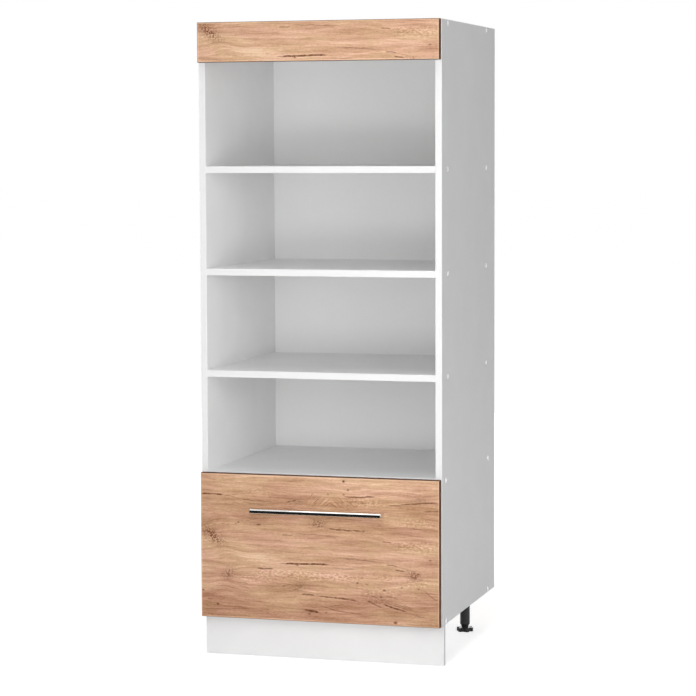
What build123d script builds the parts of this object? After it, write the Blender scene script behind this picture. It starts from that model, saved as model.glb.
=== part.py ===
from build123d import *
import math
import os

# An open-front pantry cabinet: four open compartments over one deep drawer, on four
# levelling legs behind a plinth.
# Millimetres. X runs to the right as seen from the front, Y towards the rear, Z up.
# The origin is on the floor, under the middle of the box that holds the whole cabinet.

# Carcass
carcass_width = 600.0
carcass_depth = 553.0
carcass_height = 1432.0
board = 16.0
back_board = 3.0
back_inset = 16.0
groove_depth = 8.0
groove_slack = 0.2
shelf_back_gap = 0.5
drawer_bay_height = 321.0
compartment_height = 229.5
white_strip = 0.8
white_strip_round = 0.4

# Fronts
front_board = 16.0
front_reveal = 2.0
drawer_front_drop = 1.0
drawer_front_top_reveal = 2.0
bumper_thickness = 1.0
fascia_height = 95.0
brown_strip = 2.0
brown_strip_round = 1.5

# Screws that hold the boards between the side panels, and their caps
board_screw_head_r = 5.0
board_screw_head_depth = 3.0
board_screw_neck_r = 3.5
board_screw_thread_r = 3.0
board_screw_length = 50.0
board_screw_socket = 4.0
board_screw_socket_depth = 2.6
shelf_screw_front = 57.0
shelf_screw_rear = 96.0
bay_screw_front = 37.0
bay_screw_rear = 75.0
cap_r = 6.0
cap_thickness = 0.8
cap_stem_r = 1.7
cap_stem_length = 2.0
screw_clearance = 0.05

# Small wood screws
wood_screw_r = 1.75
wood_screw_depth = 12.0
wood_screw_head_r = 3.5
wood_screw_head_height = 2.0
sunk_head_depth = 2.0

# Brackets that hold the fascia
bracket_leg = 30.0
bracket_width = 20.0
bracket_thickness = 2.0
bracket_inset = 100.0
bracket_screw_spacing = 12.0

# Levelling legs
leg_height = 100.0
leg_side_inset = 55.0
leg_front_inset = 75.0
leg_rear_inset = 93.0
leg_tube_r = 12.5
leg_tube_wall = 3.5
leg_tube_bottom = 19.0
leg_plate_size = 64.0
leg_plate_thickness = 3.0
leg_plate_corner = 8.0
leg_plate_screw_spacing = 48.0
leg_cup_wall = 3.0
leg_cup_depth = 12.0
leg_fit = 0.05
foot_r = 21.0
foot_thickness = 10.0
foot_lobes = 6
foot_lobe_notch_r = 6.0
foot_neck_r = 8.5
foot_neck_height = 3.0
foot_thread_length = 46.0
foot_thread_pitch = 2.5
foot_thread_depth = 0.9
foot_stop_gap = 0.2

# Plinth
plinth_board = 16.0
plinth_setback = 20.0
plinth_end_gap = 1.0
plinth_gap = 1.0
clip_base_width = 30.0
clip_base_height = 48.0
clip_base_thickness = 3.0
clip_ring_height = 20.0
clip_ring_wall = 2.5
clip_ring_opening = 110.0
clip_neck_width = 12.0
clip_cup_gap = 15.0
clip_screw_spacing = 34.0

# Drawer runners
runner_height = 45.5
runner_thickness = 12.7
runner_steel = 1.2
runner_setback = 3.0
runner_back_space = 81.0
runner_web_gap = 0.5
runner_lip_gap = 0.7
runner_centre_height = 60.0
ball_r = 1.8
ball_clearance = 0.3
cage_sheet = 0.6
cage_end_gap = 6.0
cage_hole_slack = 0.1
balls_per_row = 8
runner_screw_first = 34.0
runner_screw_pitch = 128.0
runner_screw_last = 64.0

# Drawer box
drawer_floor_gap = 30.0
drawer_top_gap = 91.0
drawer_bottom_board = 3.0
drawer_bottom_lift = 12.0
drawer_groove_depth = 7.0
drawer_bottom_slack = 0.5
drawer_screw_low = 25.0
drawer_screw_high = 30.0
front_screw_r = 2.0
front_screw_spacing = 360.0
front_screw_low = 40.0
front_screw_high = 40.0
front_screw_head_r = 4.0
front_screw_head_height = 2.2
bumper_r = 4.0
bumper_low = 30.0
bumper_high = 40.0

# Handle
handle_length = 326.0
handle_hole_spacing = 256.0
handle_bar_r = 6.0
handle_projection = 35.0
handle_below_top = 85.0
handle_post_r = 5.0
handle_end_chamfer = 0.8
handle_screw_r = 2.0
handle_screw_bite = 10.0
handle_screw_head_r = 4.0
handle_screw_head_height = 2.6

# Places that follow from the sizes above
front_reach = bumper_thickness + front_board + handle_projection
carcass_front = front_reach - (carcass_depth + front_reach) / 2
carcass_rear = carcass_front + carcass_depth
carcass_side = carcass_width / 2
inner_side = carcass_side - board
carcass_bottom = leg_height
carcass_top = carcass_bottom + carcass_height
back_front = carcass_rear - back_inset - back_board
shelf_rear = back_front - shelf_back_gap
bay_floor = carcass_bottom + board
bay_shelf_bottom = bay_floor + drawer_bay_height
shelf_pitch = board + compartment_height
shelf_bottoms = {
    "drawer_bay_shelf": bay_shelf_bottom,
    "lower_shelf": bay_shelf_bottom + shelf_pitch,
    "middle_shelf": bay_shelf_bottom + 2 * shelf_pitch,
    "upper_shelf": bay_shelf_bottom + 3 * shelf_pitch,
}
board_bottoms = {
    "bottom_panel": carcass_bottom,
    **shelf_bottoms,
    "top_panel": carcass_top - board,
}
front_side = carcass_side - front_reveal
drawer_front_rear = carcass_front - bumper_thickness
drawer_front_face = drawer_front_rear - front_board
drawer_front_bottom = carcass_bottom - drawer_front_drop
drawer_front_top = bay_shelf_bottom + board - drawer_front_top_reveal
handle_height = drawer_front_top - handle_below_top
handle_axis = drawer_front_face - handle_projection + handle_bar_r
leg_x = carcass_side - leg_side_inset
leg_ys = {
    "front": carcass_front + leg_front_inset,
    "rear": carcass_rear - leg_rear_inset,
}
leg_plate_bottom = carcass_bottom - leg_plate_thickness
plinth_front = carcass_front + plinth_setback
plinth_rear = plinth_front + plinth_board
clip_ring_top = leg_plate_bottom - leg_cup_depth - clip_cup_gap
clip_middle_height = clip_ring_top - clip_ring_height / 2
drawer_side = inner_side - runner_thickness
drawer_inner_side = drawer_side - board
drawer_bottom = bay_floor + drawer_floor_gap
drawer_top = bay_shelf_bottom - drawer_top_gap
drawer_inner_front = drawer_front_rear + board
runner_front = carcass_front + runner_setback
runner_rear = back_front - runner_back_space
runner_length = runner_rear - runner_front
runner_screw_ys = (
    runner_front + runner_screw_first,
    runner_front + runner_screw_first + runner_screw_pitch,
    runner_rear - runner_screw_last,
)
drawer_rear = runner_rear
drawer_inner_rear = drawer_rear - board
drawer_floor = drawer_bottom + drawer_bottom_lift
runner_z = drawer_bottom + runner_centre_height

# Heights inside a runner, from its middle line, and depths, from the side panel
cabinet_flange = runner_height / 2 - runner_steel
outer_ball_row = cabinet_flange - ball_clearance - ball_r
middle_flange = outer_ball_row - ball_r - ball_clearance
inner_ball_row = middle_flange - runner_steel - ball_clearance - ball_r
drawer_flange = inner_ball_row - ball_r - ball_clearance
outer_cage_web = runner_steel + runner_web_gap
middle_web = outer_cage_web + cage_sheet + runner_web_gap
inner_cage_web = middle_web + runner_steel + runner_web_gap
drawer_flange_start = inner_cage_web + cage_sheet + runner_web_gap
runner_lip = runner_thickness - runner_lip_gap
ball_depth = (drawer_flange_start + runner_lip) / 2
cage_shift = runner_length / 4
cage_length = runner_length / 2 - 2 * cage_end_gap
cage_front = runner_front + cage_shift + cage_end_gap

SIDES = (("left", -1), ("right", 1))


def block(x_range, y_range, z_range):
    """A box between two places on each axis, given in either order."""
    x0, x1 = sorted(x_range)
    y0, y1 = sorted(y_range)
    z0, z1 = sorted(z_range)
    middle = Pos((x0 + x1) / 2, (y0 + y1) / 2, (z0 + z1) / 2)
    return middle * Box(x1 - x0, y1 - y0, z1 - z0)


def rod_x(radius, x_range, y, z):
    """A cylinder along X."""
    x0, x1 = sorted(x_range)
    return Pos((x0 + x1) / 2, y, z) * Rot(0, 90, 0) * Cylinder(radius, x1 - x0)


def rod_y(radius, y_range, x, z):
    """A cylinder along Y."""
    y0, y1 = sorted(y_range)
    return Pos(x, (y0 + y1) / 2, z) * Rot(90, 0, 0) * Cylinder(radius, y1 - y0)


def rod_z(radius, z_range, x, y):
    """A cylinder along Z."""
    z0, z1 = sorted(z_range)
    return Pos(x, y, (z0 + z1) / 2) * Cylinder(radius, z1 - z0)


def save(name, *solids):
    """Writes one sub-part, of one solid or of several like ones."""
    shape = solids[0] if len(solids) == 1 else Compound(children=list(solids))
    export_step(shape, f"parts/{name}.step")


def white_strip_along_x(x_range, z_range, y_front):
    """A white edge strip on the front edge of a lying board, its long front edges rounded."""
    strip = block(x_range, (y_front, y_front + white_strip), z_range)
    long_edges = strip.edges().filter_by(Axis.X).group_by(Axis.Y)[0]
    return fillet(long_edges, white_strip_round)


def white_strip_along_z(x_range, z_range, y_front):
    """A white edge strip on the front edge of a standing board."""
    strip = block(x_range, (y_front, y_front + white_strip), z_range)
    long_edges = strip.edges().filter_by(Axis.Z).group_by(Axis.Y)[0]
    return fillet(long_edges, white_strip_round)


# Board screws

def board_screw_places():
    """The place, along Y and Z, of each screw through one side panel."""
    places = []
    for name, bottom in board_bottoms.items():
        in_bay = name in ("bottom_panel", "drawer_bay_shelf")
        front_inset = bay_screw_front if in_bay else shelf_screw_front
        rear_inset = bay_screw_rear if in_bay else shelf_screw_rear
        for y in (carcass_front + front_inset, carcass_rear - rear_inset):
            places.append((y, bottom + board / 2))
    return places


def board_screw(sign, face, y, z, slack=0.0):
    """A sunk-head screw from a face at X towards the middle. Slack widens it into its own hole."""
    head_end = face - sign * board_screw_head_depth
    neck_end = face - sign * board
    tip = face - sign * (board_screw_length + slack)
    screw = rod_x(board_screw_head_r + slack, (face, head_end), y, z)
    screw += rod_x(board_screw_neck_r + slack, (head_end, neck_end), y, z)
    screw += rod_x(board_screw_thread_r + slack, (neck_end, tip), y, z)
    if slack == 0.0:
        hexagon = RegularPolygon(board_screw_socket / 2, 6, major_radius=False)
        socket = extrude(hexagon, board_screw_socket_depth)
        screw -= Pos(face, y, z) * Rot(0, -90 * sign, 0) * socket
    return screw


def drawer_screw_places():
    """The place, along Y and Z, of each screw through one drawer side."""
    heights = (drawer_bottom + drawer_screw_low, drawer_top - drawer_screw_high)
    depths = (drawer_front_rear + board / 2, drawer_rear - board / 2)
    return [(y, z) for y in depths for z in heights]


def carcass_screws():
    """The screws through both side panels."""
    return [
        board_screw(sign, sign * carcass_side, y, z)
        for _, sign in SIDES
        for y, z in board_screw_places()
    ]


def drawer_box_screws():
    """The screws through both drawer sides."""
    return [
        board_screw(sign, sign * drawer_side, y, z)
        for _, sign in SIDES
        for y, z in drawer_screw_places()
    ]


def cap(sign, y, z):
    """A thin round cap on a screw head, with a stem in the head's socket."""
    disc = rod_x(cap_r, (sign * carcass_side, sign * (carcass_side + cap_thickness)), y, z)
    rim = disc.edges().group_by(Axis.X)[-1 if sign > 0 else 0]
    disc = fillet(rim, cap_thickness / 2)
    return disc + rod_x(cap_stem_r, (sign * carcass_side, sign * (carcass_side - cap_stem_length)), y, z)


# Small wood screws

def wood_screw(shank=bracket_thickness):
    """A pan-head screw whose head sits on Z = 0 and whose tip points down."""
    head = Pos(0, 0, wood_screw_head_height / 2) * Cylinder(wood_screw_head_r, wood_screw_head_height)
    head = fillet(head.edges().group_by(Axis.Z)[-1], wood_screw_head_height / 3)
    slot = Box(wood_screw_head_r, wood_screw_r / 2, wood_screw_head_height)
    cross = Pos(0, 0, wood_screw_head_height) * (slot + Rot(0, 0, 90) * slot)
    length = wood_screw_depth + shank
    return head - cross + Pos(0, 0, -length / 2) * Cylinder(wood_screw_r, length)


def screw_hole(shank=bracket_thickness):
    """The hole of such a screw, through what it holds and into the board behind."""
    length = wood_screw_depth + shank
    return Pos(0, 0, -length / 2) * Cylinder(wood_screw_r + screw_clearance, length)


# Drawer runners

def runner_x(sign, depth):
    """X at a depth from a side panel's inner face."""
    return sign * (inner_side - depth)


def runner_block(sign, depth_range, z_range, y_range):
    """A block in one runner, between two depths and two heights from its middle line."""
    x_range = [runner_x(sign, depth) for depth in depth_range]
    heights = [runner_z + height for height in z_range]
    return block(x_range, y_range, heights)


def channel(sign, web, flanges, flange_height, y_range, sheet):
    """A channel section: a web between two depths and a flange above and below it."""
    section = runner_block(sign, web, (-flange_height, flange_height), y_range)
    for up in (-1, 1):
        edge = (up * (flange_height - sheet), up * flange_height)
        section += runner_block(sign, flanges, edge, y_range)
    return section


def runner_screw(sign, depth, towards, y, slack=0.0):
    """A flush screw through a runner's web, towards 1 into the side panel or -1 into the drawer."""
    face = runner_x(sign, depth)
    into = sign * towards
    board_face = face + into * runner_steel
    tip = board_face + into * (wood_screw_depth + slack)
    screw = rod_x(wood_screw_r + slack, (face, tip), y, runner_z)
    cone = Cone(wood_screw_r + slack, wood_screw_head_r + slack, sunk_head_depth)
    middle = face + into * sunk_head_depth / 2
    return screw + Pos(middle, y, runner_z) * Rot(0, -90 * into, 0) * cone


def cabinet_screws(sign, slack=0.0):
    """The screws that hold a cabinet member to its side panel."""
    return [
        runner_screw(sign, runner_steel, 1, y, slack)
        for y in runner_screw_ys
    ]


def drawer_screws(sign, slack=0.0):
    """The screws that hold a drawer member to its drawer side."""
    return [
        runner_screw(sign, runner_thickness - runner_steel, -1, y, slack)
        for y in runner_screw_ys
    ]


def cabinet_member(sign):
    """The runner's fixed member, a channel that opens towards the drawer."""
    flanges = (0, runner_lip)
    y_range = (runner_front, runner_rear)
    member = channel(sign, (0, runner_steel), flanges, runner_height / 2, y_range, runner_steel)
    for screw in cabinet_screws(sign, screw_clearance):
        member -= screw
    return member


def middle_member(sign):
    """The runner's middle member, inside the fixed one."""
    web = (middle_web, middle_web + runner_steel)
    flanges = (middle_web, runner_lip)
    return channel(sign, web, flanges, middle_flange, (runner_front, runner_rear), runner_steel)


def drawer_member(sign):
    """The runner's drawer member, a channel that opens towards the side panel."""
    web = (runner_thickness - runner_steel, runner_thickness)
    flanges = (drawer_flange_start, runner_thickness)
    member = channel(sign, web, flanges, drawer_flange, (runner_front, drawer_rear), runner_steel)
    for screw in drawer_screws(sign, screw_clearance):
        member -= screw
    return member


def ball_places(row):
    """The place, along Y and Z, of each ball in the rows above and below the middle line."""
    pitch = cage_length / balls_per_row
    depths = [cage_front + pitch * (index + 0.5) for index in range(balls_per_row)]
    return [(y, runner_z + up * row) for up in (-1, 1) for y in depths]


def cage(sign, web, row):
    """A ball cage: a thin channel with a hole for each ball."""
    y_range = (cage_front, cage_front + cage_length)
    height = row + cage_sheet / 2
    flanges = (web, runner_lip - cage_sheet)
    strip = channel(sign, (web, web + cage_sheet), flanges, height, y_range, cage_sheet)
    x = runner_x(sign, ball_depth)
    for y, z in ball_places(row):
        strip -= rod_z(ball_r + cage_hole_slack, (z - ball_r, z + ball_r), x, y)
    return strip


def balls(sign, row):
    """The balls of one cage."""
    x = runner_x(sign, ball_depth)
    return [Pos(x, y, z) * Sphere(ball_r) for y, z in ball_places(row)]


# Carcass

def side_panel(sign):
    """A side panel with the back's groove and the holes of its screws."""
    x_range = (sign * inner_side, sign * carcass_side)
    panel = block(x_range, (carcass_front + white_strip, carcass_rear), (carcass_bottom, carcass_top))
    groove_x = (sign * inner_side, sign * (inner_side + groove_depth))
    groove_y = (back_front - groove_slack, back_front + back_board + groove_slack)
    panel -= block(groove_x, groove_y, (carcass_bottom, carcass_top))
    for y, z in board_screw_places():
        panel -= board_screw(sign, sign * carcass_side, y, z, screw_clearance)
    for screw in cabinet_screws(sign, screw_clearance):
        panel -= screw
    return panel


def lying_board(bottom):
    """A board between the side panels, with the holes of its screws."""
    panel = block(
        (-inner_side, inner_side),
        (carcass_front + white_strip, shelf_rear),
        (bottom, bottom + board),
    )
    for _, sign in SIDES:
        for y, z in board_screw_places():
            if bottom < z < bottom + board:
                panel -= board_screw(sign, sign * carcass_side, y, z, screw_clearance)
    return panel


def bottom_panel():
    """The bottom panel, with the holes of the leg screws too."""
    panel = lying_board(carcass_bottom)
    for x, y in leg_screw_places():
        panel -= leg_screw(x, y, screw_clearance)
    return panel


def top_panel():
    """The top panel, with the holes of the bracket screws too."""
    panel = lying_board(carcass_top - board)
    for hole in bracket_screws(hole=True):
        panel -= hole
    return panel


def back_panel():
    """The thin back, in the grooves of the side panels, behind every lying board."""
    side = inner_side + groove_depth - groove_slack
    y_range = (back_front, back_front + back_board)
    return block((-side, side), y_range, (carcass_bottom, carcass_top))


def carcass_strips():
    """The white strips on the front edges of the side panels and of the lying boards."""
    strips = []
    for sign in (-1, 1):
        x_range = (sign * inner_side, sign * carcass_side)
        strips.append(white_strip_along_z(x_range, (carcass_bottom, carcass_top), carcass_front))
    for bottom in board_bottoms.values():
        z_range = (bottom, bottom + board)
        strips.append(white_strip_along_x((-inner_side, inner_side), z_range, carcass_front))
    return strips


# Fronts

def front_core(y_rear, z_range):
    """A front board without its edge strips."""
    side = front_side - brown_strip
    z0, z1 = z_range
    return block((-side, side), (y_rear - front_board, y_rear), (z0 + brown_strip, z1 - brown_strip))


def front_strips(y_rear, z_range):
    """The four edge strips of a front, rounded where they meet its face."""
    z0, z1 = z_range
    y_range = (y_rear - front_board, y_rear)
    strips = []
    for low, outer in ((z0, 0), (z1 - brown_strip, -1)):
        strip = block((-front_side, front_side), y_range, (low, low + brown_strip))
        long_edge = strip.edges().filter_by(Axis.X).group_by(Axis.Y)[0].sort_by(Axis.Z)[outer]
        strips.append(fillet(long_edge, brown_strip_round))
    for sign in (-1, 1):
        x_range = (sign * (front_side - brown_strip), sign * front_side)
        strip = block(x_range, y_range, (z0 + brown_strip, z1 - brown_strip))
        outer = -1 if sign > 0 else 0
        long_edge = strip.edges().filter_by(Axis.Z).group_by(Axis.Y)[0].sort_by(Axis.X)[outer]
        strips.append(fillet(long_edge, brown_strip_round))
    return strips


def top_fascia():
    """The oak strip over the top compartment, with the holes of the bracket screws."""
    fascia = front_core(carcass_front, (carcass_top - fascia_height, carcass_top))
    for hole in bracket_screws(hole=True):
        fascia -= hole
    return fascia


def brackets():
    """The angle brackets between the fascia and the top panel."""
    corner_z = carcass_top - board
    pieces = []
    for x in bracket_xs():
        x_range = (x - bracket_width / 2, x + bracket_width / 2)
        reach = carcass_front + bracket_leg
        drop = corner_z - bracket_leg
        upper = block(x_range, (carcass_front, reach), (corner_z - bracket_thickness, corner_z))
        front = block(x_range, (carcass_front, carcass_front + bracket_thickness), (drop, corner_z))
        bracket = upper + front
        for hole in bracket_screws(hole=True):
            bracket -= hole
        pieces.append(bracket)
    return pieces


def bracket_xs():
    """Where the brackets stand along X."""
    return (-inner_side + bracket_inset, inner_side - bracket_inset)


def bracket_screws(hole=False):
    """The screws of the brackets, up into the top panel and forward into the fascia."""
    screw = screw_hole() if hole else wood_screw()
    underside = carcass_top - board - bracket_thickness
    inner_face = carcass_front + bracket_thickness
    middle = bracket_leg / 2 + bracket_thickness
    pieces = []
    for x in bracket_xs():
        upward = Pos(x, carcass_front + middle, underside) * Rot(180, 0, 0)
        forward = Pos(x, inner_face, carcass_top - board - middle) * Rot(-90, 0, 0)
        for place, shift in ((upward, -1), (upward, 1), (forward, -1), (forward, 1)):
            offset = shift * bracket_screw_spacing / 2
            pieces.append(Pos(offset, 0, 0) * place * screw)
    return pieces


# Legs

def leg_places():
    """The name and the place of each leg."""
    return [
        (f"{end}_{side}", sign * leg_x, y)
        for end, y in leg_ys.items()
        for side, sign in SIDES
    ]


def leg_screw_offsets():
    """The places of a leg plate's screws from its middle."""
    half = leg_plate_screw_spacing / 2
    return [(dx, dy) for dx in (-half, half) for dy in (-half, half)]


def leg_screw_places():
    """The place of each screw through the leg plates."""
    return [(x + dx, y + dy) for _, x, y in leg_places() for dx, dy in leg_screw_offsets()]


def leg_screw(x, y, slack=0.0):
    """A flush sunk-head screw up through a leg plate into the bottom panel."""
    tip = carcass_bottom + wood_screw_depth + slack
    shank = rod_z(wood_screw_r + slack, (leg_plate_bottom, tip), x, y)
    cone = Cone(wood_screw_head_r + slack, wood_screw_r + slack, sunk_head_depth)
    return shank + Pos(x, y, leg_plate_bottom + sunk_head_depth / 2) * cone


def leg_plate(x, y):
    """A leg's mounting plate, with the cup that holds its tube."""
    half = leg_plate_size / 2
    plate = block((x - half, x + half), (y - half, y + half), (leg_plate_bottom, carcass_bottom))
    plate = fillet(plate.edges().filter_by(Axis.Z), leg_plate_corner)
    cup_r = leg_tube_r + leg_fit
    cup_z = (leg_plate_bottom - leg_cup_depth, leg_plate_bottom)
    plate += rod_z(cup_r + leg_cup_wall, cup_z, x, y) - rod_z(cup_r, cup_z, x, y)
    for dx, dy in leg_screw_offsets():
        plate -= leg_screw(x + dx, y + dy, screw_clearance)
    return plate


def leg_tube(x, y):
    """A leg's sleeve, open at the bottom for the foot's thread."""
    bore_r = leg_tube_r - leg_tube_wall
    bore_top = leg_plate_bottom - leg_tube_wall
    tube = rod_z(leg_tube_r, (leg_tube_bottom, leg_plate_bottom), x, y)
    return tube - rod_z(bore_r, (leg_tube_bottom, bore_top), x, y)


def foot(x, y):
    """A leg's adjuster: a lobed foot, a neck and a thread, its turns drawn as rings."""
    disc = rod_z(foot_r, (0, foot_thickness), x, y)
    for index in range(foot_lobes):
        angle = math.radians(360 / foot_lobes * (index + 0.5))
        notch_x = x + foot_r * math.cos(angle)
        notch_y = y + foot_r * math.sin(angle)
        disc -= rod_z(foot_lobe_notch_r, (0, foot_thickness), notch_x, notch_y)
    shoulder = leg_tube_bottom - foot_stop_gap
    taper_bottom = foot_thickness + foot_neck_height
    neck = rod_z(foot_neck_r, (foot_thickness, taper_bottom), x, y)
    taper_height = shoulder - taper_bottom
    taper = Cone(foot_neck_r, leg_tube_r, taper_height)
    neck += Pos(x, y, taper_bottom + taper_height / 2) * taper
    thread_r = leg_tube_r - leg_tube_wall - leg_fit
    thread_top = shoulder + foot_thread_length
    thread = rod_z(thread_r, (shoulder, thread_top), x, y)
    turns = int(foot_thread_length / foot_thread_pitch) - 1
    groove = foot_thread_pitch / 2
    for turn in range(turns):
        low = shoulder + foot_thread_pitch * (turn + 1) - groove / 2
        span = (low, low + groove)
        thread -= rod_z(thread_r, span, x, y) - rod_z(thread_r - foot_thread_depth, span, x, y)
    return disc + neck + thread


# Plinth

def plinth():
    """The plinth board, with the holes of the clip screws."""
    side = carcass_side - plinth_end_gap
    panel = block((-side, side), (plinth_front, plinth_rear), (plinth_gap, carcass_bottom - plinth_gap))
    for hole in clip_screws(hole=True):
        panel -= hole
    return panel


def plinth_clips():
    """The clips that hold the plinth on the front legs."""
    leg_y = leg_ys["front"]
    base_rear = plinth_rear + clip_base_thickness
    ring_z = (clip_middle_height - clip_ring_height / 2, clip_middle_height + clip_ring_height / 2)
    base_z = (clip_middle_height - clip_base_height / 2, clip_middle_height + clip_base_height / 2)
    inner_r = leg_tube_r + leg_fit
    outer_r = inner_r + clip_ring_wall
    clips = []
    for _, sign in SIDES:
        x = sign * leg_x
        base_x = (x - clip_base_width / 2, x + clip_base_width / 2)
        neck_x = (x - clip_neck_width / 2, x + clip_neck_width / 2)
        clip = block(base_x, (plinth_rear, base_rear), base_z)
        clip += block(neck_x, (base_rear, leg_y), ring_z)
        clip += rod_z(outer_r, ring_z, x, leg_y)
        clip -= rod_z(inner_r, ring_z, x, leg_y)
        half = math.radians(clip_ring_opening / 2)
        reach = 2 * outer_r
        mouth = [
            (x, leg_y),
            (x + reach * math.sin(half), leg_y + reach * math.cos(half)),
            (x - reach * math.sin(half), leg_y + reach * math.cos(half)),
        ]
        wedge = Pos(0, 0, ring_z[0]) * extrude(make_face(Polyline(mouth, close=True)), clip_ring_height)
        clip -= wedge
        for hole in clip_screws(hole=True):
            clip -= hole
        clips.append(clip)
    return clips


def clip_screws(hole=False):
    """The screws of the plinth clips."""
    screw = screw_hole(shank=clip_base_thickness) if hole else wood_screw(shank=clip_base_thickness)
    pieces = []
    for _, sign in SIDES:
        for up in (-1, 1):
            z = clip_middle_height + up * clip_screw_spacing / 2
            place = Pos(sign * leg_x, plinth_rear + clip_base_thickness, z)
            pieces.append(place * Rot(-90, 0, 0) * screw)
    return pieces


# Drawer

def drawer_side_panel(sign):
    """A drawer side with the bottom's groove and the holes of its screws."""
    x_range = (sign * drawer_inner_side, sign * drawer_side)
    panel = block(x_range, (drawer_front_rear, drawer_rear), (drawer_bottom, drawer_top - white_strip))
    panel -= drawer_groove()
    for y, z in drawer_screw_places():
        panel -= board_screw(sign, sign * drawer_side, y, z, screw_clearance)
    for screw in drawer_screws(sign, screw_clearance):
        panel -= screw
    return panel


def drawer_groove():
    """The space that the four grooves of the drawer's bottom make together."""
    side = drawer_inner_side + drawer_groove_depth
    y_range = (drawer_inner_front - drawer_groove_depth, drawer_inner_rear + drawer_groove_depth)
    top = drawer_floor + drawer_bottom_board + groove_slack
    return block((-side, side), y_range, (drawer_floor, top))


def drawer_cross_board(y_range):
    """The drawer's inner front or its back, with the holes of its screws."""
    x_range = (-drawer_inner_side, drawer_inner_side)
    panel = block(x_range, y_range, (drawer_bottom, drawer_top - white_strip))
    panel -= drawer_groove()
    for sign in (-1, 1):
        for y, z in drawer_screw_places():
            panel -= board_screw(sign, sign * drawer_side, y, z, screw_clearance)
    return panel


def drawer_inner_front_board():
    """The drawer's inner front, with the holes of the screws that hold the oak front."""
    panel = drawer_cross_board((drawer_front_rear, drawer_inner_front))
    for screw in front_screws(screw_clearance):
        panel -= screw
    return panel


def drawer_bottom_panel():
    """The drawer's thin bottom, in its grooves."""
    side = drawer_inner_side + drawer_groove_depth - drawer_bottom_slack
    front = drawer_inner_front - drawer_groove_depth + drawer_bottom_slack
    rear = drawer_inner_rear + drawer_groove_depth - drawer_bottom_slack
    return block((-side, side), (front, rear), (drawer_floor, drawer_floor + drawer_bottom_board))


def drawer_strips():
    """The white strips on the top edges of the drawer box."""
    z_range = (drawer_top - white_strip, drawer_top)
    strips = []
    for sign in (-1, 1):
        x_range = (sign * drawer_inner_side, sign * drawer_side)
        strips.append(block(x_range, (drawer_front_rear, drawer_rear), z_range))
    for y_range in ((drawer_front_rear, drawer_inner_front), (drawer_inner_rear, drawer_rear)):
        strips.append(block((-drawer_inner_side, drawer_inner_side), y_range, z_range))
    return strips


def front_screws(slack=0.0):
    """The screws from inside the drawer into the oak front."""
    pieces = []
    tip = drawer_front_rear - wood_screw_depth - slack
    head_end = drawer_inner_front + front_screw_head_height
    for sign in (-1, 1):
        x = sign * front_screw_spacing / 2
        for z in (drawer_bottom + front_screw_low, drawer_top - front_screw_high):
            shank = rod_y(front_screw_r + slack, (tip, drawer_inner_front), x, z)
            head = rod_y(front_screw_head_r, (drawer_inner_front, head_end), x, z)
            head = fillet(head.edges().group_by(Axis.Y)[-1], front_screw_head_height / 3)
            pieces.append(shank if slack else shank + head)
    return pieces


def drawer_front():
    """The oak drawer front, with the holes of the handle and box screws."""
    panel = front_core(drawer_front_rear, (drawer_front_bottom, drawer_front_top))
    for screw in front_screws(screw_clearance):
        panel -= screw
    for sign in (-1, 1):
        x = sign * handle_hole_spacing / 2
        hole = (drawer_front_face, drawer_front_rear)
        panel -= rod_y(handle_screw_r + screw_clearance, hole, x, handle_height)
    return panel


def bumpers():
    """The soft pads between the drawer front and the side panels' edges."""
    x = carcass_side - board / 2
    heights = (drawer_front_bottom + bumper_low, drawer_front_top - bumper_high)
    return [
        rod_y(bumper_r, (drawer_front_rear, carcass_front), sign * x, z)
        for sign in (-1, 1)
        for z in heights
    ]


# Handle

def handle_bar():
    """The handle's round bar."""
    bar = rod_x(handle_bar_r, (-handle_length / 2, handle_length / 2), handle_axis, handle_height)
    ends = bar.edges().group_by(Axis.X)
    return chamfer(ends[0] + ends[-1], handle_end_chamfer)


def handle_posts():
    """The handle's posts, shaped to the bar and drilled for their screws."""
    bar = rod_x(handle_bar_r, (-handle_length / 2, handle_length / 2), handle_axis, handle_height)
    posts = []
    for sign in (-1, 1):
        x = sign * handle_hole_spacing / 2
        post = rod_y(handle_post_r, (handle_axis, drawer_front_face), x, handle_height)
        hole_end = drawer_front_face - handle_screw_bite - screw_clearance
        hole = rod_y(handle_screw_r + screw_clearance, (hole_end, drawer_front_face), x, handle_height)
        posts.append(post - bar - hole)
    return posts


def handle_screws():
    """The screws from behind the front into the handle's posts."""
    pieces = []
    for sign in (-1, 1):
        x = sign * handle_hole_spacing / 2
        tip = drawer_front_face - handle_screw_bite
        head_end = drawer_front_rear + handle_screw_head_height
        head = rod_y(handle_screw_head_r, (drawer_front_rear, head_end), x, handle_height)
        head = fillet(head.edges().group_by(Axis.Y)[-1], handle_screw_head_height / 3)
        pieces.append(head + rod_y(handle_screw_r, (tip, drawer_front_rear), x, handle_height))
    return pieces


os.makedirs("parts", exist_ok=True)

save("bottom_panel", bottom_panel())
save("top_panel", top_panel())
for shelf_name, shelf_bottom in shelf_bottoms.items():
    save(shelf_name, lying_board(shelf_bottom))
save("back_panel", back_panel())
save("carcass_edge_strips", *carcass_strips())

fascia_z = (carcass_top - fascia_height, carcass_top)
save("top_fascia", top_fascia())
save("top_fascia_edge_strips", *front_strips(carcass_front, fascia_z))
save("fascia_brackets", *brackets())
save("fascia_bracket_screws", *bracket_screws())

save("leg_plates", *[leg_plate(x, y) for _, x, y in leg_places()])
save("leg_tubes", *[leg_tube(x, y) for _, x, y in leg_places()])
save("leg_screws", *[leg_screw(x, y) for x, y in leg_screw_places()])
for leg_name, leg_at_x, leg_at_y in leg_places():
    save(f"foot_{leg_name}", foot(leg_at_x, leg_at_y))

save("plinth_board", plinth())
save("plinth_clips", *plinth_clips())
save("plinth_clip_screws", *clip_screws())

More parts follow.
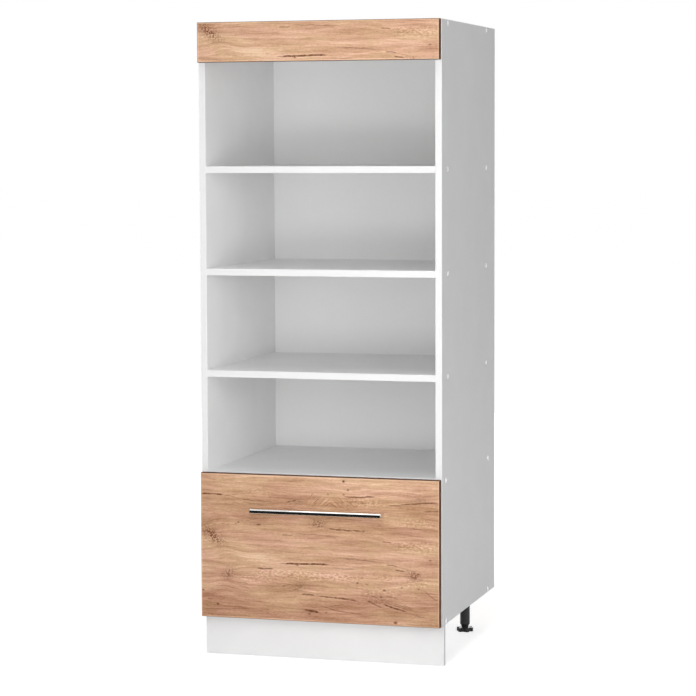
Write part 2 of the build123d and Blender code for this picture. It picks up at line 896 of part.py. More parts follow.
for side_name, side_sign in SIDES:
    save(f"{side_name}_side_panel", side_panel(side_sign))
    save(f"runner_cabinet_member_{side_name}", cabinet_member(side_sign))
    save(f"runner_middle_member_{side_name}", middle_member(side_sign))
    save(f"runner_drawer_member_{side_name}", drawer_member(side_sign))
    save(f"outer_ball_cage_{side_name}", cage(side_sign, outer_cage_web, outer_ball_row))
    save(f"inner_ball_cage_{side_name}", cage(side_sign, inner_cage_web, inner_ball_row))
    save(f"outer_balls_{side_name}", *balls(side_sign, outer_ball_row))
    save(f"inner_balls_{side_name}", *balls(side_sign, inner_ball_row))
    save(f"drawer_side_{side_name}", drawer_side_panel(side_sign))

save("board_screws", *carcass_screws())
save("screw_caps", *[cap(sign, y, z) for _, sign in SIDES for y, z in board_screw_places()])
save("runner_cabinet_screws", *cabinet_screws(-1), *cabinet_screws(1))
save("runner_drawer_screws", *drawer_screws(-1), *drawer_screws(1))
save("drawer_box_screws", *drawer_box_screws())

save("drawer_front", drawer_front())
save("drawer_front_edge_strips", *front_strips(drawer_front_rear, (drawer_front_bottom, drawer_front_top)))
save("drawer_inner_front", drawer_inner_front_board())
save("drawer_back", drawer_cross_board((drawer_inner_rear, drawer_rear)))
save("drawer_bottom", drawer_bottom_panel())
save("drawer_edge_strips", *drawer_strips())
save("drawer_front_screws", *front_screws())
save("drawer_bumpers", *bumpers())
save("handle_bar", handle_bar())
save("handle_posts", *handle_posts())
save("handle_screws", *handle_screws())
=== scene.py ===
import math

import bpy
from mathutils import Matrix, Vector

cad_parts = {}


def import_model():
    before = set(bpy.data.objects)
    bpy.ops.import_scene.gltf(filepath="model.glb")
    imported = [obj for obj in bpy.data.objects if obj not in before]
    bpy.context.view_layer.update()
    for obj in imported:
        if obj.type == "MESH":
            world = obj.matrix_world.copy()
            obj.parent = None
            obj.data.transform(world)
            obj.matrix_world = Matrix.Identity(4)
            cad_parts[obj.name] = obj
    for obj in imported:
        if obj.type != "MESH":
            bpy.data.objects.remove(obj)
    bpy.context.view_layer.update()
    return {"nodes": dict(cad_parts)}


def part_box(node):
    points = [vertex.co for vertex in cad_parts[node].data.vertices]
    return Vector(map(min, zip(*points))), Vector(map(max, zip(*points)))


# Looks for an open-front pantry cabinet. Everything is in metres, in the cabinet's own frame:
# X to the right as seen from the front, Y towards the rear, Z up, the floor at zero.
# Only the patterns and marks of the materials are in millimetres: a noise of scale 0.5 has
# patches of about 2 mm.

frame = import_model()

MM = 1000.0

# A noise stays mostly between these two values.
NOISE_RANGE = (0.3, 0.7)


class Graph:
    """Adds nodes to a node tree. A value may be a socket, a number, a vector or a colour."""

    def __init__(self, tree):
        self.tree = tree

    def put(self, socket, value):
        if isinstance(value, bpy.types.NodeSocket):
            self.tree.links.new(value, socket)
        elif socket.type == "RGBA":
            socket.default_value = (*value, 1.0)
        else:
            socket.default_value = value

    def add(self, kind, inputs=(), **settings):
        node = self.tree.nodes.new(kind)
        for key, value in settings.items():
            setattr(node, key, value)
        for key, value in dict(inputs).items():
            self.put(node.inputs[key], value)
        return node

    def math(self, operation, *values, clamp=False):
        node = self.add("ShaderNodeMath", operation=operation, use_clamp=clamp)
        for socket, value in zip(node.inputs, values):
            self.put(socket, value)
        return node.outputs[0]

    def sum(self, first, *others):
        for other in others:
            first = self.math("ADD", first, other)
        return first

    def times(self, first, *others):
        for other in others:
            first = self.math("MULTIPLY", first, other)
        return first

    def vector(self, operation, *values):
        node = self.add("ShaderNodeVectorMath", operation=operation)
        for socket, value in zip(node.inputs, values):
            self.put(socket, value)
        gives_number = operation in ("DOT_PRODUCT", "LENGTH")
        return node.outputs["Value" if gives_number else "Vector"]

    def split(self, vector):
        return self.add("ShaderNodeSeparateXYZ", {"Vector": vector}).outputs

    def join(self, x, y, z=0.0):
        return self.add("ShaderNodeCombineXYZ", {"X": x, "Y": y, "Z": z}).outputs[0]

    def noise(self, vector, scale, detail=2.0, roughness=0.5):
        inputs = {"Vector": vector, "Scale": scale, "Detail": detail, "Roughness": roughness}
        return self.add("ShaderNodeTexNoise", inputs).outputs[0]

    def cells(self, vector, scale, feature="F1", output="Distance"):
        inputs = {"Vector": vector, "Scale": scale, "Randomness": 1.0}
        return self.add("ShaderNodeTexVoronoi", inputs, feature=feature).outputs[output]

    def step(self, value, low, high, at_low=0.0, at_high=1.0, smooth=True):
        """Goes from at_low to at_high while the value goes from low to high."""
        kind = "SMOOTHSTEP" if smooth else "LINEAR"
        inputs = {0: value, 1: low, 2: high, 3: at_low, 4: at_high}
        return self.add("ShaderNodeMapRange", inputs, interpolation_type=kind).outputs[0]

    def vary(self, noise, least=0.0, most=1.0):
        """Goes from least to most over the usual range of a noise."""
        return self.step(noise, *NOISE_RANGE, least, most)

    def mix(self, factor, a, b, blend="MIX"):
        """Goes from colour a to colour b while the factor goes from 0 to 1."""
        inputs = {0: factor, 6: a, 7: b}
        settings = {"data_type": "RGBA", "blend_type": blend, "clamp_factor": True}
        return self.add("ShaderNodeMix", inputs, **settings).outputs[2]

    def ramp(self, factor, stops):
        node = self.add("ShaderNodeValToRGB", {"Fac": factor})
        elements = node.color_ramp.elements
        while len(elements) < len(stops):
            elements.new(0.5)
        for element, (place, colour) in zip(elements, stops):
            element.position = place
            element.color = (*colour, 1.0)
        return node.outputs[0]

    def curve(self, value, heights):
        """A smooth curve through evenly spaced heights, for values from 0 to 1."""
        node = self.add("ShaderNodeFloatCurve", {"Value": value})
        points = node.mapping.curves[0].points
        while len(points) < len(heights):
            points.new(0.5, 0.5)
        for index, height in enumerate(heights):
            points[index].location = (index / (len(heights) - 1), height)
        node.mapping.update()
        return node.outputs[0]


class Surface(Graph):
    """The graph of a new material, with its shader, the place in millimetres and the normal."""

    def __init__(self, name):
        self.material = bpy.data.materials.new(name)
        self.material.use_nodes = True
        super().__init__(self.material.node_tree)
        self.shader = self.tree.nodes["Principled BSDF"]
        coordinates = self.add("ShaderNodeTexCoord").outputs
        self.place = self.vector("MULTIPLY", coordinates["Object"], (MM, MM, MM))
        self.normal = coordinates["Normal"]

    def set(self, name, value):
        self.put(self.shader.inputs[name], value)

    def dress(self, colour, roughness, height, depth, specular=0.5, metallic=0.0):
        """Sets the shader and its bump, whose depth is in millimetres, and returns the material."""
        relief = {"Height": height, "Distance": depth / MM, "Strength": 1.0}
        self.set("Base Color", colour)
        self.set("Roughness", roughness)
        self.set("Normal", self.add("ShaderNodeBump", relief).outputs[0])
        self.set("Specular IOR Level", specular)
        self.set("Metallic", metallic)
        return self.material


def grey(value):
    return (value, value, value)


def give(material, *nodes):
    """Puts a material on every slot of these CAD nodes."""
    for name in nodes:
        for slot in frame["nodes"][name].material_slots:
            slot.material = material


def left_and_right(*names):
    """The names of pairs of nodes, which end in _left and in _right."""
    return [f"{name}_{side}" for name in names for side in ("left", "right")]


# Boards

# Raw particle board: the shades of its chips, the dust on them, the gaps between them, the scale
# of the chips' cells and the roughness.
CHIP_SHADES = [
    (0.00, (0.30, 0.19, 0.105)),
    (0.35, (0.46, 0.32, 0.190)),
    (0.75, (0.56, 0.41, 0.255)),
    (1.00, (0.68, 0.53, 0.350)),
]
DUST_BROWN = (0.40, 0.27, 0.155)
GAP_BROWN = (0.16, 0.095, 0.05)
CHIP_SCALE = 0.42
CUT_ROUGHNESS = 0.9

# How much deeper the relief of a raw edge is than the melamine's.
CUT_RELIEF = 6.0

# The two browns of hardboard's fibre, and the pitch of the wire mesh that is printed on it.
FIBRE_BROWNS = [(0.25, (0.20, 0.12, 0.07)), (0.75, (0.36, 0.235, 0.145))]
MESH_PITCH = 1.6

# A surface faces along an axis where its normal's part along that axis is over this.
FACING = 0.5


def whites(graph, pattern, darkest, lightest):
    """A white that drifts with a noise."""
    return graph.ramp(pattern, list(zip(NOISE_RANGE, (grey(darkest), grey(lightest)))))


def cut_particle_board(board):
    """The colour and the height of a raw edge: flat chips, finer specks and dark gaps."""
    chip = board.split(board.cells(board.place, CHIP_SCALE, output="Color"))[0]
    gaps = board.cells(board.place, CHIP_SCALE, feature="DISTANCE_TO_EDGE")
    fine = board.noise(board.place, 1.6, 3.0, 0.6)
    dusted = board.mix(board.step(fine, 0.35, 0.7), board.ramp(chip, CHIP_SHADES), DUST_BROWN)
    seams = board.step(gaps, 0.0, 0.16, at_low=0.55, at_high=0.0)
    height = board.math("SUBTRACT", board.step(gaps, 0.0, 0.3), board.times(fine, 0.5))
    return board.mix(seams, dusted, GAP_BROWN), height


def board_material(name, face_axis=None):
    """White melamine, with raw particle board on the edges that don't face along the axis."""
    board = Surface(name)
    pearl = board.noise(board.place, 0.9, 3.0, 0.55)
    colour = whites(board, board.noise(board.place, 0.012), 0.895, 0.92)
    roughness = board.vary(pearl, 0.36, 0.48)
    height = pearl
    if face_axis is not None:
        along = board.math("ABSOLUTE", board.split(board.normal)[face_axis])
        cut = board.math("LESS_THAN", along, FACING)
        chips, chip_height = cut_particle_board(board)
        colour = board.mix(cut, colour, chips)
        roughness = board.math("MAXIMUM", roughness, board.times(cut, CUT_ROUGHNESS))
        height = board.sum(pearl, board.times(cut, chip_height, CUT_RELIEF))
    return board.dress(colour, roughness, height, 0.06, specular=0.3)


def hardboard_material(name, face_axis, face_sign):
    """Thin board, lacquered white on one face, brown fibre with a wire-mesh print on the other."""
    board = Surface(name)
    facing = board.times(board.split(board.normal)[face_axis], face_sign)
    behind = board.math("LESS_THAN", facing, FACING)
    lacquer = board.noise(board.place, 0.35)
    white = whites(board, lacquer, 0.90, 0.92)
    brown = board.ramp(board.noise(board.place, 0.8, 5.0, 0.7), FIBRE_BROWNS)
    in_face = [part for axis, part in enumerate(board.split(board.place)) if axis != face_axis]
    waves = [board.math("SINE", board.times(part, 2 * math.pi / MESH_PITCH)) for part in in_face]
    mesh_print = board.times(behind, board.math("MAXIMUM", *waves))
    height = board.sum(board.times(lacquer, 0.6), board.times(mesh_print, 1.5))
    roughness = board.step(behind, 0.0, 1.0, at_low=0.42, at_high=0.85)
    return board.dress(board.mix(behind, white, brown), roughness, height, 0.08)


# Plastics

def white_strip_material():
    """A satin plastic edge strip."""
    strip = Surface("white_strip")
    fine = strip.noise(strip.place, 1.2)
    white = whites(strip, fine, 0.83, 0.855)
    return strip.dress(white, strip.vary(fine, 0.30, 0.38), fine, 0.04, specular=0.3)


def moulded_plastic(name, dark, light, roughness, scale=0.8, depth=0.05):
    """Grey plastic: a faint spark-eroded grain, a little drift of shade and uneven gloss."""
    plastic = Surface(name)
    eroded = plastic.noise(plastic.place, scale, 3.0, 0.6)
    drift = plastic.step(plastic.noise(plastic.place, 0.05), 0.35, 0.65)
    tone = plastic.mix(drift, grey(dark), grey(light))
    uneven = plastic.vary(eroded, roughness - 0.07, roughness + 0.07)
    return plastic.dress(tone, uneven, eroded, depth, specular=0.3)


def cap_material():
    """Glossy white moulded plastic."""
    cap = Surface("cap_moulded")
    ripple = cap.noise(cap.place, 0.25)
    cap.set("Coat Weight", 1.0)
    cap.set("Coat IOR", 2.0)
    cap.set("Coat Roughness", 0.06)
    white = whites(cap, ripple, 0.95, 0.97)
    return cap.dress(white, cap.vary(ripple, 0.08, 0.12), ripple, 0.02, specular=1.0)


# Oak decor

# The rustic oak sheet in millimetres: along X from the cabinet's middle line, and up from the floor
# where the drawer front is cut from it. The top strip is cut from the same part of such a sheet.
# The marks on it were measured.
STRIP_FROM_SHEET = 1211.0
SHEET_BOTTOM, SHEET_TOP = 99.0, 451.0

# How much lighter or darker the sheet is than its average, at even steps from its bottom to its top.
SHADE_UP_THE_SHEET = [
    -0.13, -0.10, -0.05, 0.01, 0.09, 0.08, 0.05,
    0.02, -0.02, -0.05, -0.05, 0.04, 0.13,
]

# Cloudy patches: middle, half length, half height, and how much lighter or darker.
PATCHES = [
    ((-240, 424), 70, 18, 0.06),
    ((60, 426), 120, 18, 0.12),
    ((-60, 386), 120, 14, -0.10),
    ((-230, 360), 70, 22, -0.06),
    ((-155, 346), 55, 14, -0.14),
    ((-110, 324), 45, 9, -0.12),
    ((-190, 284), 70, 12, 0.08),
    ((20, 282), 90, 11, 0.07),
    ((-30, 309), 100, 5, -0.10),
    ((100, 252), 65, 8, -0.12),
    ((-130, 248), 60, 12, 0.08),
    ((-200, 226), 90, 10, 0.07),
    ((0, 214), 140, 11, 0.09),
    ((190, 214), 70, 12, 0.07),
    ((-90, 178), 60, 12, -0.14),
    ((150, 166), 60, 12, -0.10),
    ((-200, 124), 120, 24, -0.10),
    ((40, 120), 110, 18, -0.07),
    ((60, 185), 60, 10, 0.05),
]

# Cracks: start, end and sagitta of each dark line, its half width and its strength.
CRACKS = [
    ((-300, 400), (-238, 398.5), 1.2, 1.7, 0.95),
    ((-240, 398.5), (-196, 391), 1.0, 1.2, 0.45),
    ((-200, 391), (-112, 387), -1.5, 1.4, 0.5),
    ((-195, 384), (-128, 377), -1.0, 1.2, 0.4),
    ((-80, 386), (-54, 391.5), 0.8, 1.5, 0.9),
    ((-54, 391), (-40, 387), 0.6, 1.3, 0.6),
    ((-20, 402), (-13, 409), 0.0, 1.4, 0.6),
    ((-14, 386), (4, 399), 0.5, 1.2, 0.6),
    ((62, 405), (142, 408), -1.5, 1.6, 0.85),
    ((172, 388), (206, 389), -0.8, 1.4, 0.5),
    ((196, 389), (300, 398), 1.5, 1.6, 0.85),
    ((240, 404), (268, 402), 2.0, 2.2, 0.45),
    ((258, 376), (300, 378), 0.0, 1.4, 0.6),
    ((18, 327), (112, 324), -1.5, 1.5, 0.8),
    ((-94, 306), (-62, 308), 0.0, 1.4, 0.45),
    ((-66, 311), (60, 307), 0.5, 1.2, 0.4),
    ((158, 299.5), (182, 299), 0.0, 1.3, 0.6),
    ((60, 257), (150, 249), 1.0, 1.6, 0.45),
    ((168, 245.5), (196, 242), 0.4, 1.3, 0.7),
    ((-100, 237), (32, 240), 0.3, 1.8, 1.0),
    ((30, 232), (92, 231), 0.0, 1.2, 0.35),
    ((188, 234), (216, 230.5), 0.3, 1.6, 0.75),
    ((-158, 223.5), (-112, 223), 0.0, 1.6, 0.8),
    ((-222, 199), (-150, 198), 0.6, 1.0, 0.4),
    ((-202, 187), (-178, 183), 0.6, 1.0, 0.5),
    ((-202, 178), (-178, 175.5), 0.6, 1.0, 0.4),
    ((-94, 182), (-68, 187), 0.6, 1.6, 0.5),
    ((-66, 174), (-42, 181), 0.6, 1.8, 0.55),
    ((-302, 165), (-290, 164), 0.0, 1.8, 0.8),
    ((-46, 164.5), (-8, 162.5), 1.6, 1.6, 0.8),
    ((-10, 162.5), (104, 154.5), 1.6, 1.6, 0.85),
    ((120, 157), (162, 141), -1.0, 1.6, 0.7),
    ((128, 169), (152, 161), 1.5, 1.8, 0.5),
    ((158, 151), (218, 134.5), -0.8, 1.9, 0.95),
    ((164, 155), (226, 139), -0.6, 1.2, 0.6),
    ((178, 156), (238, 138.5), -0.4, 1.1, 0.5),
    ((208, 152), (236, 141), 0.0, 1.0, 0.4),
    ((164, 168), (192, 166), 0.8, 1.5, 0.5),
    ((4, 139), (44, 129), 0.4, 1.6, 0.5),
    ((40, 129), (110, 124), -0.6, 1.6, 0.4),
    ((-38, 127.5), (2, 122.5), 0.8, 2.4, 1.0),
    ((-298, 149), (-240, 151), 0.0, 1.1, 0.4),
    ((238, 126), (262, 124), 0.0, 1.3, 0.55),
    ((262, 186), (294, 164), -1.5, 1.4, 0.5),
]

# Knots: middle, half length, half height, tilt in degrees, darkness of the core and of its specks.
KNOTS = [
    ((-60, 388), 22, 7, 8, 0.45, 0.5),
    ((-268, 299), 28, 11, -37, 0.10, 1.0),
    ((-152, 330), 12, 5, 0, 0.35, 0.3),
    ((0, 337), 18, 9, -20, 0.20, 0.7),
    ((252, 402), 24, 8, 4, 0.30, 0.4),
    ((-228, 207), 16, 11, 30, 0.20, 0.7),
    ((-50, 184), 18, 8, 12, 0.30, 0.6),
    ((236, 220), 16, 9, -20, 0.25, 0.8),
    ((-24, 124), 18, 6, -8, 0.45, 0.4),
    ((150, 160), 30, 12, -18, 0.15, 0.4),
]

# Spots: middle, half length, half height and darkness of each small dark spot.
SPOTS = [
    ((62.5, 441.5), 3.2, 2.8, 1.0),
    ((73.5, 421), 2.6, 2.2, 0.85),
    ((63, 409.5), 2.4, 2.0, 0.8),
    ((-15, 408), 2.6, 2.2, 0.6),
    ((24, 409), 3.0, 2.4, 0.45),
    ((-151, 329.5), 6.0, 1.8, 0.95),
    ((-202, 332.5), 3.0, 2.0, 0.8),
    ((-209, 329.5), 2.6, 1.8, 0.7),
    ((-263, 326.5), 5.0, 1.6, 0.5),
    ((-12, 333.5), 4.0, 1.8, 0.7),
    ((0, 331), 3.0, 1.8, 0.75),
    ((53, 325.5), 3.5, 1.8, 0.8),
    ((112, 323), 3.0, 2.0, 0.6),
    ((-53, 236.5), 3.5, 2.8, 0.9),
    ((-229, 206.5), 4.0, 2.0, 1.0),
    ((-46, 184), 3.5, 2.8, 0.6),
    ((96, 198.5), 3.0, 2.0, 0.85),
    ((119, 196), 3.5, 2.0, 0.85),
    ((163, 183.5), 4.0, 2.2, 0.8),
    ((206, 192), 3.0, 2.2, 0.65),
    ((247, 190.5), 3.0, 1.8, 0.75),
    ((236, 227.5), 3.0, 2.0, 0.8),
    ((246, 225.5), 4.0, 1.8, 0.85),
    ((234, 217.5), 5.0, 2.6, 0.8),
    ((275, 259.5), 4.0, 1.8, 0.75),
    ((155, 167), 4.5, 2.0, 0.85),
    ((127, 156), 5.5, 1.8, 1.0),
    ((-256, 132), 3.2, 2.6, 0.95),
    ((-276, 142.5), 6.0, 1.4, 0.6),
    ((-129, 123), 3.0, 1.6, 0.6),
    ((-129, 115.5), 3.0, 1.6, 0.6),
    ((-24, 119), 4.0, 2.0, 0.9),
    ((18, 123), 3.0, 2.0, 0.7),
    ((242, 126), 4.0, 1.6, 0.6),
    ((190, 107), 4.5, 2.6, 0.95),
]

# Zones of small pale and dark flecks: middle, half length, half height and strength.
FLECKED = [
    ((-30, 211), 150, 10, 1.0),
    ((-150, 200), 60, 12, 0.6),
    ((150, 215), 90, 9, 0.5),
    ((245, 346), 45, 12, 0.7),
    ((240, 292), 60, 14, 0.8),
    ((240, 200), 60, 9, 0.7),
    ((-160, 408), 40, 8, 0.6),
    ((150, 176), 60, 12, 0.6),
    ((110, 392), 60, 12, 0.7),
]

# How far a knot bends the grain round itself, as a share of the distance from its middle, and how
# fast that bend and the knot's dark core fade away from the middle.
KNOT_PUSH = 0.55
BEND_FADE = 0.22
CORE_FADE = 0.7

# How steeply a crack grows from its ends to its full width.
CRACK_TAPER = 8.0

# The figure of pointed arches above the handle: its peak line, middle height, half sizes and slope.
ARCHES = {"peak": 28.0, "height": 388.0, "half_length": 62.0, "half_height": 13.0, "slope": 0.85}

# Layers of noise that bend the grain, fray the marks and make the fibres: the length, width, seed
# and weight of each. Bends and frays weigh in millimetres, fibres in shade.
GRAIN_BENDS = [(260.0, 85.0, 1.0, 24.0), (80.0, 30.0, 2.0, 4.0)]
FRAYED_EDGES = [(16.0, 16.0, 3.0, 5.0)]
FIBRES = [
    (200.0, 26.0, 6.0, 0.80),
    (120.0, 7.0, 7.0, 0.90),
    (44.0, 2.8, 8.0, 0.70),
    (16.0, 0.9, 9.0, 0.40),
]

# The oak's other noises: length, width and seed, then the detail and the roughness where they
# aren't the usual ones.
BREAKS_IN_CRACKS = (9.0, 30.0, 4.0)
ARCH_GRAIN = (34.0, 4.0, 5.0)
KNOT_STREAKS = (38.0, 2.8, 8.0)
RAYS = (7.0, 4.0, 10.0, 2.0, 0.6)
DASHES = (13.0, 1.7, 12.0, 2.0)
PINKNESS = (150.0, 45.0, 13.0, 2.0)
PORES = (12.0, 1.1, 14.0, 2.0)
BRUSHING = (40.0, 0.8, 15.0)

# How much larger than measured the soft-edged marks are drawn, and a crack's pale rims beside it.
PATCH_SPREAD = 1.7
SPOT_SPREAD = 1.4
FLECKED_SPREAD = 1.4
CRACK_SPREAD = 1.6
RIM_SPREAD = 2.2

# How much each kind of mark lightens the sheet, or darkens it where the number is negative.
RIM_LIFT = 0.16
ARCH_LIFT = 2.2
FLECK_LIFT = 2.2
DASH_LIFT = -0.24
# The border's lift is a painted highlight: a pale line along the front's edges.
BORDER_HIGHLIGHT_LIFT = 0.30

# The strength of the flecks outside their zones.
FLECKS_ELSEWHERE = 0.18

# The colours of the sheet from its darkest to its lightest shade, and of cracks, spots and grit.
OAK_SHADES = [
    (0.00, (0.278, 0.128, 0.066)),
    (0.25, (0.424, 0.218, 0.124)),
    (0.50, (0.560, 0.323, 0.201)),
    (0.75, (0.693, 0.430, 0.281)),
    (1.00, (0.855, 0.584, 0.417)),
]
BURNT_BROWN = (0.145, 0.040, 0.008)

# The strips' two browns, a painted shade where they turn away from the front, and the pale oak of
# their fronts, a painted highlight.
STRIP_SHADE_BROWNS = ((0.058, 0.021, 0.009), (0.115, 0.043, 0.018))
HIGHLIGHT_OAK = (0.68, 0.42, 0.27)

# What the oak's colour is multiplied by where it drifts to green and to pink.
GREEN_DRIFT = (0.985, 1.012, 0.955)
PINK_DRIFT = (1.015, 0.982, 1.015)


def ellipse(graph, spot, middle, length, height, tilt=0.0):
    """The squared distance of a flat place from an ellipse's middle, which is 1 at its edge."""
    if not tilt:
        stretch = (1 / length, 1 / height, 0)
        shift = (-middle[0] / length, -middle[1] / height, 0)
        scaled = graph.vector("MULTIPLY_ADD", spot, stretch, shift)
        return graph.vector("DOT_PRODUCT", scaled, scaled)
    turn = math.radians(tilt)
    long_axis = (math.cos(turn) / length, math.sin(turn) / length)
    short_axis = (-math.sin(turn) / height, math.cos(turn) / height)
    square = 0.0
    for x, y in (long_axis, short_axis):
        part = graph.vector("DOT_PRODUCT", spot, (x, y, 0))
        part = graph.math("SUBTRACT", part, x * middle[0] + y * middle[1])
        square = graph.math("MULTIPLY_ADD", part, part, square)
    return square


def strongest(graph, spot, marks, spread, least=0.0):
    """The strongest of some elliptic marks, each of which fades from its middle to its edge."""
    value = least
    for middle, length, height, strength in marks:
        square = ellipse(graph, spot, middle, spread * length, spread * height)
        mark = graph.math("MULTIPLY_ADD", square, -strength, strength)
        value = graph.math("MAXIMUM", value, mark)
    return value


def crack_mask(graph, u, v, start, end, sag, half_width):
    """A crack's dark core and the wider band that its pale rims fill, in a shallow arc."""
    run, rise = end[0] - start[0], end[1] - start[1]
    share = graph.math("MULTIPLY_ADD", u, 1 / run, -start[0] / run, clamp=True)
    hump = graph.math("SUBTRACT", share, graph.times(share, share))
    line = graph.math("MULTIPLY_ADD", share, rise, start[1])
    line = graph.math("MULTIPLY_ADD", hump, 4 * sag, line)
    off = graph.math("SUBTRACT", v, line)
    square = graph.times(off, off)
    taper = graph.math("MULTIPLY", hump, CRACK_TAPER, clamp=True)
    reaches = (half_width, RIM_SPREAD * half_width)
    return [graph.math("MULTIPLY_ADD", square, -1 / reach**2, taper, clamp=True) for reach in reaches]


def grain(graph, u, v, length, width, seed, detail=3.0, roughness=0.55):
    """Noise around zero in patches of about so many millimetres along and across the grain."""
    place = graph.join(graph.times(u, 1.0 / length), graph.times(v, 1.0 / width), seed)
    return graph.math("SUBTRACT", graph.noise(place, 1.0, detail, roughness), 0.5)


def add_layers(graph, value, u, v, layers):
    """A value with layers of grain added to it."""
    for length, width, seed, weight in layers:
        value = graph.sum(value, graph.times(grain(graph, u, v, length, width, seed), weight))
    return value


def oak_figure(graph, u, v):
    """The bent grain, and the masks of knots' cores and specks, of dark lines and of pale rims."""
    flow = add_layers(graph, v, u, v, GRAIN_BENDS)
    ragged = add_layers(graph, v, u, v, FRAYED_EDGES)
    spot = graph.join(u, ragged)

    cores, specks = 0.0, 0.0
    for middle, length, height, tilt, dark, speckle in KNOTS:
        square = ellipse(graph, spot, middle, length, height, tilt)
        push = graph.times(graph.math("EXPONENT", graph.times(square, -BEND_FADE)), KNOT_PUSH)
        flow = graph.math("MULTIPLY_ADD", push, graph.math("SUBTRACT", v, middle[1]), flow)
        bell = graph.math("EXPONENT", graph.times(square, -CORE_FADE))
        cores = graph.math("MAXIMUM", cores, graph.times(bell, dark))
        specks = graph.math("MAXIMUM", specks, graph.times(bell, speckle))

    lines, bands = strongest(graph, spot, SPOTS, SPOT_SPREAD), 0.0
    for start, end, sag, half_width, strength in CRACKS:
        core, band = crack_mask(graph, u, ragged, start, end, sag, CRACK_SPREAD * half_width)
        lines = graph.math("MAXIMUM", lines, graph.times(core, strength))
        bands = graph.math("MAXIMUM", bands, graph.times(band, strength))
    broken = graph.step(grain(graph, u, v, *BREAKS_IN_CRACKS), -0.14, 0.04, at_low=0.6)
    rims = graph.math("SUBTRACT", bands, lines, clamp=True)
    return flow, cores, specks, graph.times(lines, broken), rims


def oak_shade(graph, u, v, flow):
    """The lightness of the plain grain: sheet, patches, layers of fibres and arches."""
    half_bent = graph.sum(v, graph.times(graph.math("SUBTRACT", flow, v), 0.5))
    up_the_sheet = graph.step(half_bent, SHEET_BOTTOM, SHEET_TOP, smooth=False)
    shade = graph.curve(up_the_sheet, [0.5 + lift for lift in SHADE_UP_THE_SHEET])
    spot = graph.join(u, flow)
    for middle, length, height, lift in PATCHES:
        square = ellipse(graph, spot, middle, PATCH_SPREAD * length, PATCH_SPREAD * height)
        inside = graph.math("MULTIPLY_ADD", square, -1.0, 1.0, clamp=True)
        shade = graph.math("MULTIPLY_ADD", graph.times(inside, inside), lift, shade)
    shade = add_layers(graph, shade, u, flow, FIBRES)

    middle = (ARCHES["peak"], ARCHES["height"])
    size = (ARCHES["half_length"], ARCHES["half_height"])
    square = ellipse(graph, graph.join(u, v), middle, *size)
    arch_zone = graph.math("EXPONENT", graph.times(square, -1.0))
    from_peak = graph.math("ABSOLUTE", graph.math("SUBTRACT", u, ARCHES["peak"]))
    arch = graph.math("MULTIPLY_ADD", from_peak, ARCHES["slope"], v)
    arches = grain(graph, u, arch, *ARCH_GRAIN)
    return graph.sum(shade, graph.times(arches, arch_zone, ARCH_LIFT))


def oak_flecks(graph, u, v, flow):
    """What flecks, pale and dark, and short dark dashes of the wood's rays add to the shade."""
    zones = strongest(graph, graph.join(u, v), FLECKED, FLECKED_SPREAD, FLECKS_ELSEWHERE)
    rays = grain(graph, u, v, *RAYS)
    dashes = graph.step(grain(graph, u, flow, *DASHES), 0.11, 0.20)
    return graph.sum(graph.times(rays, zones, FLECK_LIFT), graph.times(dashes, DASH_LIFT))


def oak_border_highlight(graph, x, z, board):
    """What the painted highlight, a pale line just inside a front's edges, adds to the shade."""
    low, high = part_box(board)
    sides = graph.math("SUBTRACT", high.x * MM, graph.math("ABSOLUTE", x))
    below = graph.math("SUBTRACT", z, low.z * MM)
    above = graph.math("SUBTRACT", high.z * MM, z)
    inwards = graph.math("MINIMUM", sides, graph.math("MINIMUM", below, above))
    return graph.step(inwards, 0.8, 2.2, at_low=BORDER_HIGHLIGHT_LIFT, at_high=0.0)


def oak_material(name, board, sheet_drop, lift):
    """Rustic oak decor on a front that lies sheet_drop above its place on the sheet.

    Its shade is lighter than the sheet's by lift. The top fascia's larger lift is painted light,
    standing in for the stronger light on it.
    """
    oak = Surface(name)
    u, _, z = oak.split(oak.place)
    v = oak.math("SUBTRACT", z, sheet_drop)
    flow, cores, specks, lines, rims = oak_figure(oak, u, v)
    plain = oak_shade(oak, u, v, flow)
    flecks = oak_flecks(oak, u, v, flow)
    # The border adds a painted highlight along the front's edges.
    border = oak_border_highlight(oak, u, z, board)
    shade = oak.sum(plain, oak.times(rims, RIM_LIFT), flecks, border, lift)

    pinkness = oak.step(grain(oak, u, v, *PINKNESS), -0.10, 0.12)
    drift = oak.mix(pinkness, GREEN_DRIFT, PINK_DRIFT)
    wood = oak.mix(1.0, oak.ramp(shade, OAK_SHADES), drift, blend="MULTIPLY")

    # Grit fills the knots.
    grit = oak.step(oak.noise(oak.place, 0.24, 2.0, 0.7), 0.45, 0.55)
    streaks = oak.step(grain(oak, u, flow, *KNOT_STREAKS), -0.20, 0.12, at_low=1.0, at_high=0.4)
    knots = oak.math("MAXIMUM", oak.times(cores, streaks), oak.times(specks, grit))
    colour = oak.mix(oak.math("MAXIMUM", lines, knots), wood, BURNT_BROWN)

    # The pressed pores don't follow the print, so that few nodes lead to the bump: Cycles renders
    # a bump black when a graph as large as the print's leads to it.
    pores = oak.step(grain(oak, u, v, *PORES), 0.02, 0.16, at_low=1.0, at_high=0.0)
    relief = oak.sum(pores, grain(oak, u, v, *BRUSHING))
    roughness = oak.step(shade, 0.2, 0.8, at_low=0.60, at_high=0.46)
    return oak.dress(colour, roughness, relief, 0.10, specular=0.30)


